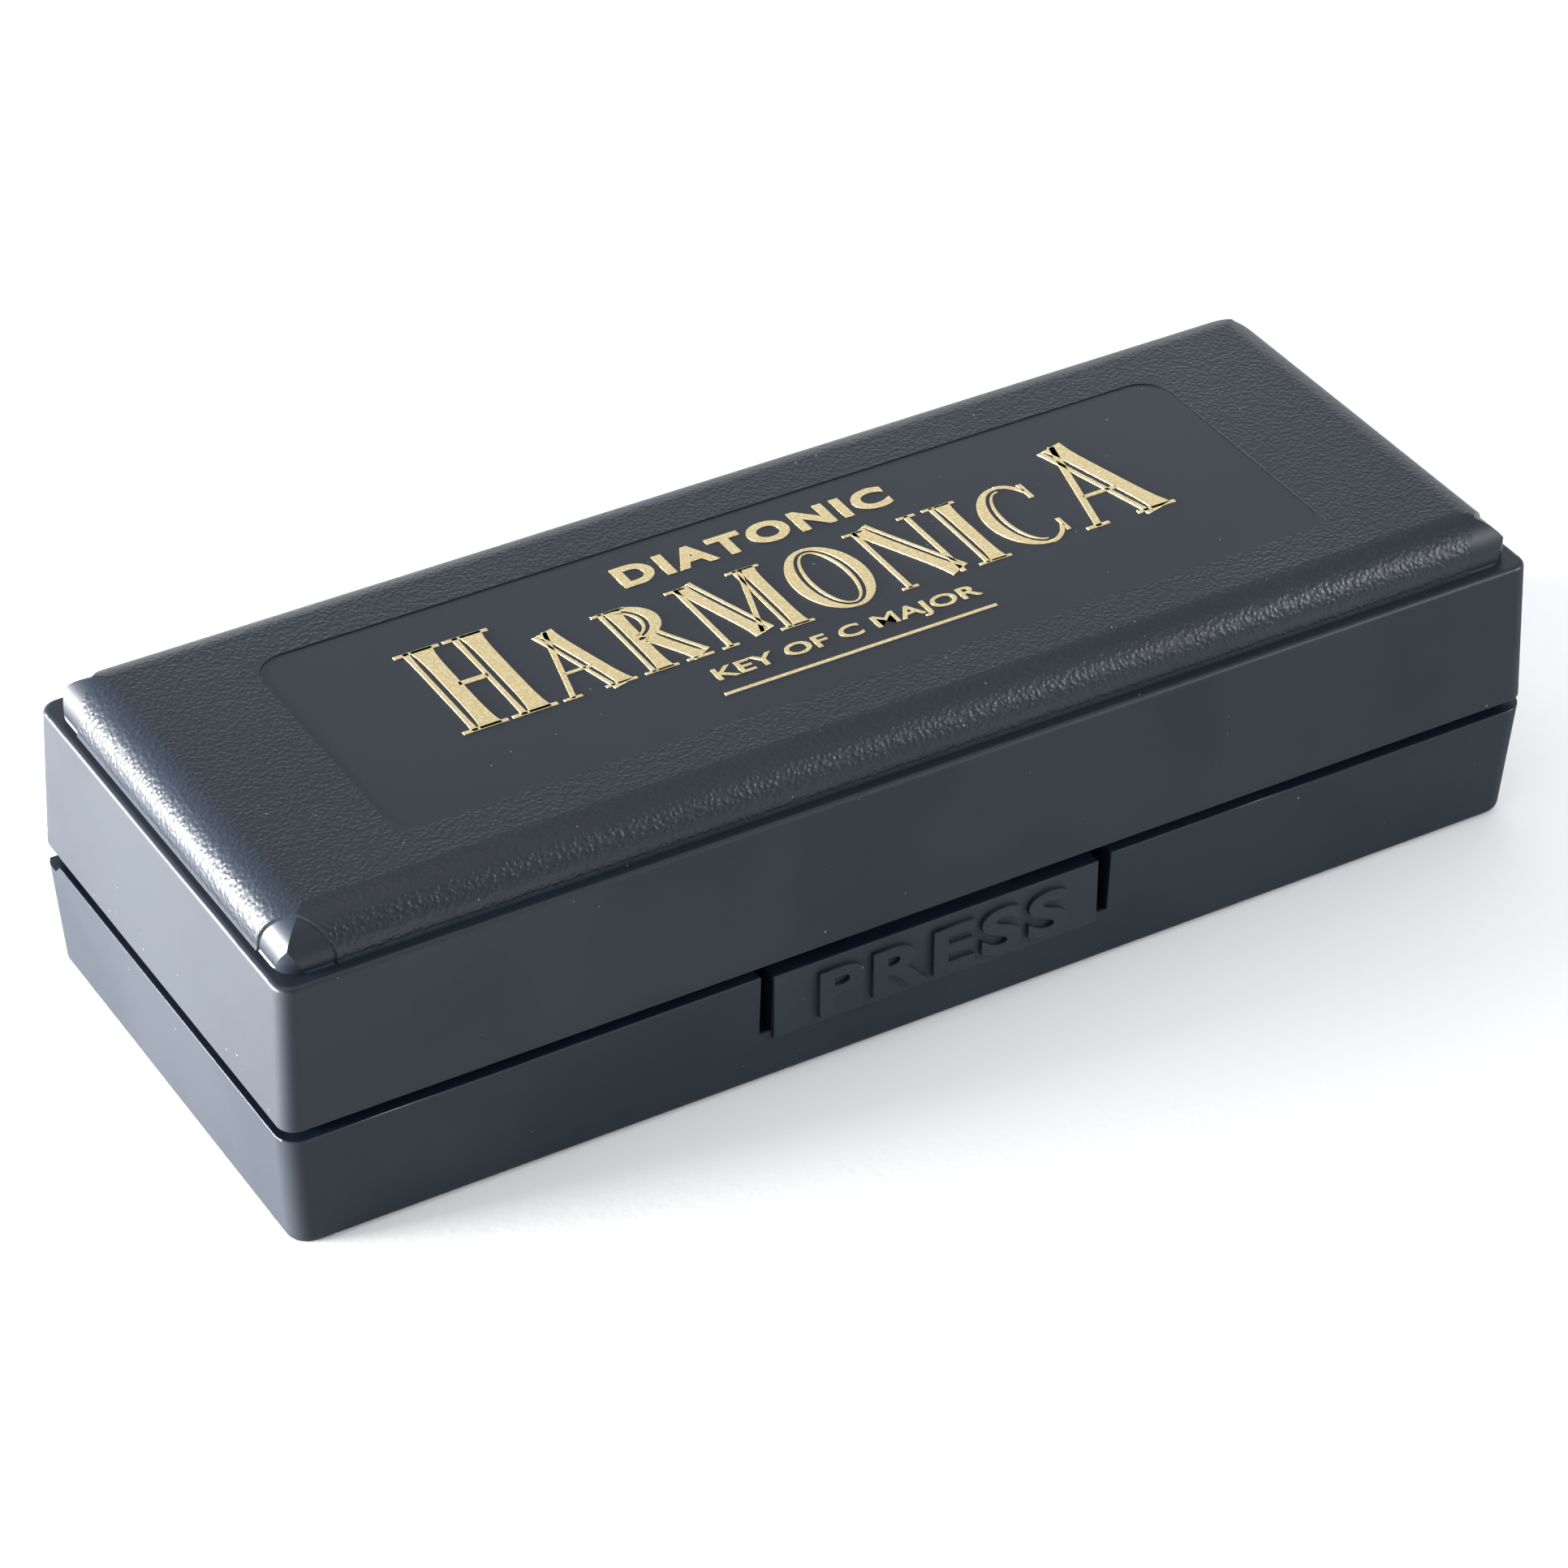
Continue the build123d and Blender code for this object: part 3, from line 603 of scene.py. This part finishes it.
# %% Strokes
BAR, HAIR, GAP = 0.115, 0.034, 0.040
FLARE, FLARE_LATENESS = 0.45, 5
LINE_STEPS, ARC_STEPS = 10, 28
SERIF_REACH, SERIF_THICK = 0.07, 0.032


def straight(start, end, steps=LINE_STEPS):
    """Points along a straight pen stroke."""
    return [Vector(start).lerp(Vector(end), i / steps) for i in range(steps + 1)]


def around(centre, radii, start, end, steps=ARC_STEPS):
    """Points along part of an ellipse, with angles in degrees."""
    turns = [math.radians(start + (end - start) * i / steps) for i in range(steps + 1)]
    reach = [(radii[0] * math.cos(t), radii[1] * math.sin(t)) for t in turns]
    return [Vector((centre[0] + x, centre[1] + y)) for x, y in reach]


def normals(points):
    """The left-hand direction across a stroke at each of its points."""
    found = []
    for i in range(len(points)):
        run = points[min(i + 1, len(points) - 1)] - points[max(i - 1, 0)]
        found.append(Vector((-run.y, run.x)).normalized())
    return found


def ribbon(points, widths):
    """The closed outline of a stroke with the given width at each point."""
    sides = normals(points)
    left = [p + n * w / 2 for p, n, w in zip(points, sides, widths)]
    right = [p - n * w / 2 for p, n, w in zip(points, sides, widths)]
    return left + right[::-1]


def flared(points, width):
    """Widths that grow towards both ends of a stroke."""
    last = len(points) - 1
    return [width * (1 + FLARE * abs(2 * i / last - 1) ** FLARE_LATENESS) for i in range(last + 1)]


def strong(start, end, side=1):
    """A bar with its hairline on one side: 1 for the left of the pen's way, -1 for the right."""
    bar = straight(start, end)
    shift = normals(bar)[0] * side * (BAR / 2 + GAP + HAIR / 2)
    hair = [p + shift for p in bar]
    return [ribbon(bar, flared(bar, BAR)), ribbon(hair, flared(hair, HAIR))]


def light(start, end, width=HAIR):
    """A narrow bar of even width."""
    line = straight(start, end)
    return [ribbon(line, [width] * len(line))]


def foot(x_from, x_to, y):
    """A thin serif across the end of an upright, at height y."""
    edge = SERIF_THICK / 2
    middle = min(max(y, edge), 1 - edge)
    return light((x_from - SERIF_REACH, middle), (x_to + SERIF_REACH, middle), SERIF_THICK)


def upright(x):
    """A strong upright whose bar is centred on x, with its hairline on the left and two serifs."""
    left = x - BAR / 2 - GAP - HAIR
    return strong((x, 0), (x, 1), side=1) + foot(left, x + BAR / 2, 0) + foot(left, x + BAR / 2, 1)


def bowl(centre, radii, start, end):
    """A round stroke, wide where it runs upright, with a hairline inside it."""
    outer = around(centre, radii, start, end)
    inner_radii = (radii[0] - BAR / 2 - GAP - HAIR / 2, radii[1] - HAIR - GAP * 0.6)
    inner = around(centre, inner_radii, start, end)
    turns = [math.radians(start + (end - start) * i / ARC_STEPS) for i in range(ARC_STEPS + 1)]
    uprightness = [abs(math.cos(t)) for t in turns]
    outer_widths = [HAIR + (BAR - HAIR) * u**1.5 for u in uprightness]
    inner_widths = [HAIR * (0.4 + 0.6 * u) for u in uprightness]
    return [ribbon(outer, outer_widths), ribbon(inner, inner_widths)]


# %% [markdown]
# ## The letters
#
# Each letter is a function that returns its strokes and its width. Eight letters are enough for the
# word, and the shared strokes keep them in one family.

# %% Letters


def letter_h():
    return upright(0.17) + upright(0.53) + light((0.2, 0.52), (0.42, 0.52), 0.045), 0.64


def letter_a():
    peak = (0.30, 1.0)
    legs = light((0.05, 0), peak, 0.05) + strong(peak, (0.56, 0), side=-1)
    feet = foot(0.03, 0.07, 0) + foot(0.44, 0.60, 0)
    return legs + feet + light((0.15, 0.36), (0.42, 0.36)), 0.66


def letter_r():
    bend = bowl((0.17, 0.74), (0.27, 0.245), 90, -90)
    joins = light((0.17, 0.985), (0.2, 0.985)) + light((0.17, 0.49), (0.25, 0.49))
    leg = strong((0.27, 0.48), (0.52, 0.03), side=1)
    return upright(0.17) + bend + joins + leg + foot(0.45, 0.57, 0), 0.63


def letter_m():
    valley = (0.40, 0.06)
    slopes = strong((0.10, 1), valley, side=1) + light(valley, (0.70, 1), 0.05)
    feet = foot(0.05, 0.07, 0) + foot(0.02, 0.08, 1)
    return light((0.06, 0), (0.06, 1), 0.05) + slopes + feet + upright(0.76), 0.88


def letter_o():
    centre, radii = (0.33, 0.5), (0.30, 0.485)
    return bowl(centre, radii, 90, 270) + bowl(centre, radii, 270, 450), 0.68


def letter_n():
    slope = strong((0.10, 1), (0.56, 0.03), side=1)
    ends = foot(0.05, 0.07, 0) + foot(0.02, 0.08, 1) + foot(0.58, 0.62, 1)
    return light((0.06, 0), (0.06, 1), 0.05) + slope + light((0.60, 0), (0.60, 1), 0.05) + ends, 0.68


def letter_i():
    return upright(0.17), 0.26


def letter_c():
    left = bowl((0.34, 0.5), (0.31, 0.485), 90, 270)
    tips = []
    for start, end in ((90, 40), (270, 322)):
        tip = around((0.34, 0.5), (0.28, 0.485), start, end)
        tips.append(ribbon(tip, [HAIR * 1.3] * len(tip)))
    ticks = light((0.565, 0.70), (0.565, 0.93), 0.05) + light((0.575, 0.10), (0.575, 0.30), 0.04)
    return left + tips + ticks, 0.64


LETTERS = {
    "H": letter_h,
    "A": letter_a,
    "R": letter_r,
    "M": letter_m,
    "O": letter_o,
    "N": letter_n,
    "I": letter_i,
    "C": letter_c,
}

# %% [markdown]
# ## Setting the word
#
# The first and last letters are a third taller, as on old shop signs, and all share one foot line.
# Each stroke becomes its own low bar: its outline is filled, drawn upwards and rounded over at the
# top edge, which is what catches the light.

# %% Display word
WORD = "HARMONICA"
FOOT_Y = -4.2 * MM
SMALL, TALL = 9.7 * MM, 12.7 * MM
WORD_START, WORD_END = -33.6 * MM, 35.2 * MM
SOFT_EDGE, SOFT_EDGE_STEPS, SOFT_EDGE_SHAPE = 0.045 * MM, 2, 0.6
RULE_LOW = Vector((-12.8, -10.0)) * MM
RULE_HIGH = Vector((13.5, -9.65)) * MM


def raise_outline(shape, outline, depth, rounding):
    """Fills a closed outline and draws it upwards, with its top edge rounded over."""
    face = shape.faces.new([shape.verts.new((p.x, p.y, 0)) for p in outline])
    if face.normal.z < 0:
        face.normal_flip()
    drawn = bmesh.ops.extrude_face_region(shape, geom=[face])["geom"]
    points = [g for g in drawn if isinstance(g, bmesh.types.BMVert)]
    bmesh.ops.translate(shape, verts=points, vec=(0, 0, depth))
    top = [g for g in drawn if isinstance(g, bmesh.types.BMFace)][0]
    bmesh.ops.bevel(
        shape,
        geom=list(top.edges),
        offset=rounding,
        segments=SOFT_EDGE_STEPS,
        profile=SOFT_EDGE_SHAPE,
        affect="EDGES",
    )


def set_word():
    """The display word as one mesh, spaced evenly between its two ends."""
    drawn = [LETTERS[c]() for c in WORD]
    sizes = [TALL if i in (0, len(WORD) - 1) else SMALL for i in range(len(WORD))]
    used = sum(width * size for (_, width), size in zip(drawn, sizes))
    space = (WORD_END - WORD_START - used) / (len(WORD) - 1)
    shape = bmesh.new()
    at = WORD_START
    for (strokes, width), size in zip(drawn, sizes):
        for outline in strokes:
            placed = [Vector((at + p.x * size, FOOT_Y + p.y * size)) for p in outline]
            raise_outline(shape, placed, FOIL_HEIGHT, SOFT_EDGE)
        at += width * size + space
    print("space between letters in mm:", round(space / MM, 2))
    return shape


def mesh_piece(name, shape):
    """Turns built geometry into an object."""
    bmesh.ops.recalc_face_normals(shape, faces=shape.faces)
    mesh = bpy.data.meshes.new(name)
    shape.to_mesh(mesh)
    shape.free()
    piece = bpy.data.objects.new(name, mesh)
    bpy.context.scene.collection.objects.link(piece)
    return piece


word = mesh_piece("foil_display_line", set_word())
word.data.transform(Matrix.Translation((0, 0, PANEL_TOP)))
finish_piece(word, GOLD_FOIL, "lid")

rule = bmesh.new()
rule_x, rule_y = zip(RULE_LOW, RULE_HIGH)
rule_corners = [(rule_x[i], rule_y[j]) for i, j in ((0, 0), (1, 0), (1, 1), (0, 1))]
raise_outline(rule, [Vector(p) for p in rule_corners], FOIL_HEIGHT, SOFT_EDGE)
underline = mesh_piece("foil_underline", rule)
underline.data.transform(Matrix.Translation((0, 0, PANEL_TOP)))
finish_piece(underline, GOLD_FOIL, "lid")

# %% [markdown]
# ## Raised letters on the latch
#
# The press tab tells the hand what to do. Its letters are part of the same moulding and stand
# nearly half a millimetre proud, so they show only by the shade on their sides. They are block
# letters again, stood upright against the tab's face.

# %% Latch letters
TAB_WORD_HIGH = 0.42 * MM
TAB_WORD_ROOT = 0.02 * MM  # how far the letters reach into the tab
TAB_WORD_LOW, TAB_WORD_TOP = (-11.7 * MM, 5.35 * MM), (12.7 * MM, 10.05 * MM)


def latch_letters():
    """The word on the tab, stood upright and moved against the tab's face."""
    letters = block_letters("latch_letters", "PRESS", 0.025, 0.05, 0.008)
    fit_flat(letters, TAB_WORD_LOW, TAB_WORD_TOP, TAB_WORD_HIGH)
    letters.data.transform(Matrix.Rotation(math.radians(90), 4, "X"))
    letters.data.transform(Matrix.Translation((0, tab_low.y + TAB_WORD_ROOT, 0)))
    finish_piece(letters, TAB_PLASTIC, "latch")


latch_letters()

# %% [markdown]
# ## Hole numbers on the upper cover
#
# Players count holes from the low end, so every diatonic has the numbers 1 to 10 pressed along the
# front of its top cover. Each digit is typed flat, carried above its hole, and dropped
# straight down onto the curved sheet point by point.

# %% Hole numbers
HOLES, PITCH = 10, 7.5 * MM
DIGIT_HIGH = 2.1 * MM
DIGIT_HALVES = [0.2 * MM] + [0.75 * MM] * (HOLES - 2) + [1.3 * MM]
DIGIT_FOOT_Y = -8.9 * MM
INK_HEIGHT, INK_ROOT = 0.03 * MM, 0.01 * MM
INK_DARK, INK_PALE = (0.02, 0.02, 0.02, 1), (0.06, 0.06, 0.06, 1)


def ink():
    """The dark fill of the pressed numbers."""
    material, tree, shader = new_material("pressed_number")
    grain = use_group(tree, MOULDED_GRAIN, Bump_Size=0.2 * MM)
    tone = blend_colours(tree, grain.outputs["Fine Height"], INK_DARK, INK_PALE)
    feed(tree, shader, Base_Color=tone, Roughness=0.5)
    return material


def drop_onto(piece, target, lift):
    """Lets every point of a flat piece fall onto the target, keeping its own height above it."""
    down = Vector((0, 0, -1))
    for v in piece.data.vertices:
        hit, place, _, _ = target.ray_cast(Vector((v.co.x, v.co.y, CROWN_TOP)), down)
        if hit:
            v.co.z += place.z + lift


def hole_numbers():
    """One number above each hole, from 1 at the low end."""
    material = ink()
    for i, half in enumerate(DIGIT_HALVES):
        digit = block_letters(f"hole_number_{i + 1:02d}", str(i + 1), 0.01, 0.02, 0.008)
        middle = (i - (HOLES - 1) / 2) * PITCH
        low = (middle - half, DIGIT_FOOT_Y)
        high = (middle + half, DIGIT_FOOT_Y + DIGIT_HIGH)
        fit_flat(digit, low, high, INK_HEIGHT)
        drop_onto(digit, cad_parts["cover_upper"], -INK_ROOT)
        finish_piece(digit, material, "base")


hole_numbers()

# %% [markdown]
# ## The table
#
# The case stands on a sheet of heavy white paper. Paper isn't perfectly flat or even: a low bump
# and a faint change of tone keep the shadow's edge from looking drawn.

# %% Table
TABLE_HALF = 2.5
PAPER_DULL, PAPER_BRIGHT = (0.88, 0.89, 0.895, 1), (0.915, 0.92, 0.925, 1)
FIBRES_PER_METRE, WAVES_PER_METRE = 0.9 / MM, 0.02 / MM
FIBRE_DEPTH = 0.028 * MM


def paper():
    """Matt white paper with a faint tooth."""
    material, tree, shader = new_material("white_paper")
    where = own_place(tree)
    fibres = noise(tree, where, FIBRES_PER_METRE, 4.0)
    waves = noise(tree, where, WAVES_PER_METRE, 2.0)
    tone = blend_colours(tree, waves, PAPER_DULL, PAPER_BRIGHT)
    bent = bumped(tree, sums(tree, "MULTIPLY", fibres, FIBRE_DEPTH))
    feed(tree, shader, Base_Color=tone, Roughness=0.85, Normal=bent)
    return material


def table():
    """A flat sheet under the case."""
    shape = bmesh.new()
    corners = [(TABLE_HALF * x, TABLE_HALF * y) for x, y in ((-1, -1), (1, -1), (1, 1), (-1, 1))]
    shape.faces.new([shape.verts.new((x, y, cad_low.z)) for x, y in corners])
    top = mesh_piece("table_paper", shape)
    dress(top, paper())


table()

# %% [markdown]
# ## Light
#
# A white room fills everything evenly, and four softboxes shape the case. A bright strip, low by
# the left end, turns that end wall silver and draws a line along the crown's left edge, because the
# plastic is glossy at a glancing angle. A wide weak one overhead lightens the table, and a short
# weak strip close behind lifts the rear of the top. The last one, high in front on the right, puts
# a broken highlight along the pebbled front edge.

# %% Lights
CASE_MIDDLE = Vector((0, 0, 0.015))


def room(strength, colour):
    """Even light from all sides."""
    world = bpy.data.worlds.new("white_room")
    world.use_nodes = True
    background = world.node_tree.nodes["Background"]
    background.inputs["Color"].default_value = colour
    background.inputs["Strength"].default_value = strength
    bpy.context.scene.world = world


def softbox(name, place, size, brightness, colour):
    """A rectangular soft light at a place in metres, turned to the case's middle."""
    data = bpy.data.lights.new(name, "AREA")
    data.shape = "RECTANGLE"
    data.size, data.size_y = size
    data.energy = brightness * math.pi * size[0] * size[1]
    data.color = colour
    lamp = bpy.data.objects.new(name, data)
    lamp.location = place
    lamp.rotation_mode = "QUATERNION"
    lamp.rotation_quaternion = (CASE_MIDDLE - Vector(place)).to_track_quat("-Z", "Y")
    lamp.visible_camera = False
    bpy.context.scene.collection.objects.link(lamp)


room(0.54, (0.96, 0.98, 1.0, 1))
softbox("left_strip", (-0.68, 0.28, 0.060), (0.44, 0.15), 235.0, (1.0, 0.99, 0.965))
softbox("overhead_softbox", (0.0, 0.0, 0.9), (0.9, 0.9), 0.86, (1.0, 1.0, 0.99))
softbox("near_back_strip", (0.10, 0.24, 0.09), (0.4, 0.08), 1.4, (0.97, 0.99, 1.0))
softbox("right_softbox", (0.56, -0.38, 0.34), (0.2, 0.2), 27.0, (0.96, 0.98, 1.0))
scene = bpy.context.scene
scene.view_settings.view_transform = "Standard"
scene.view_settings.look = "None"
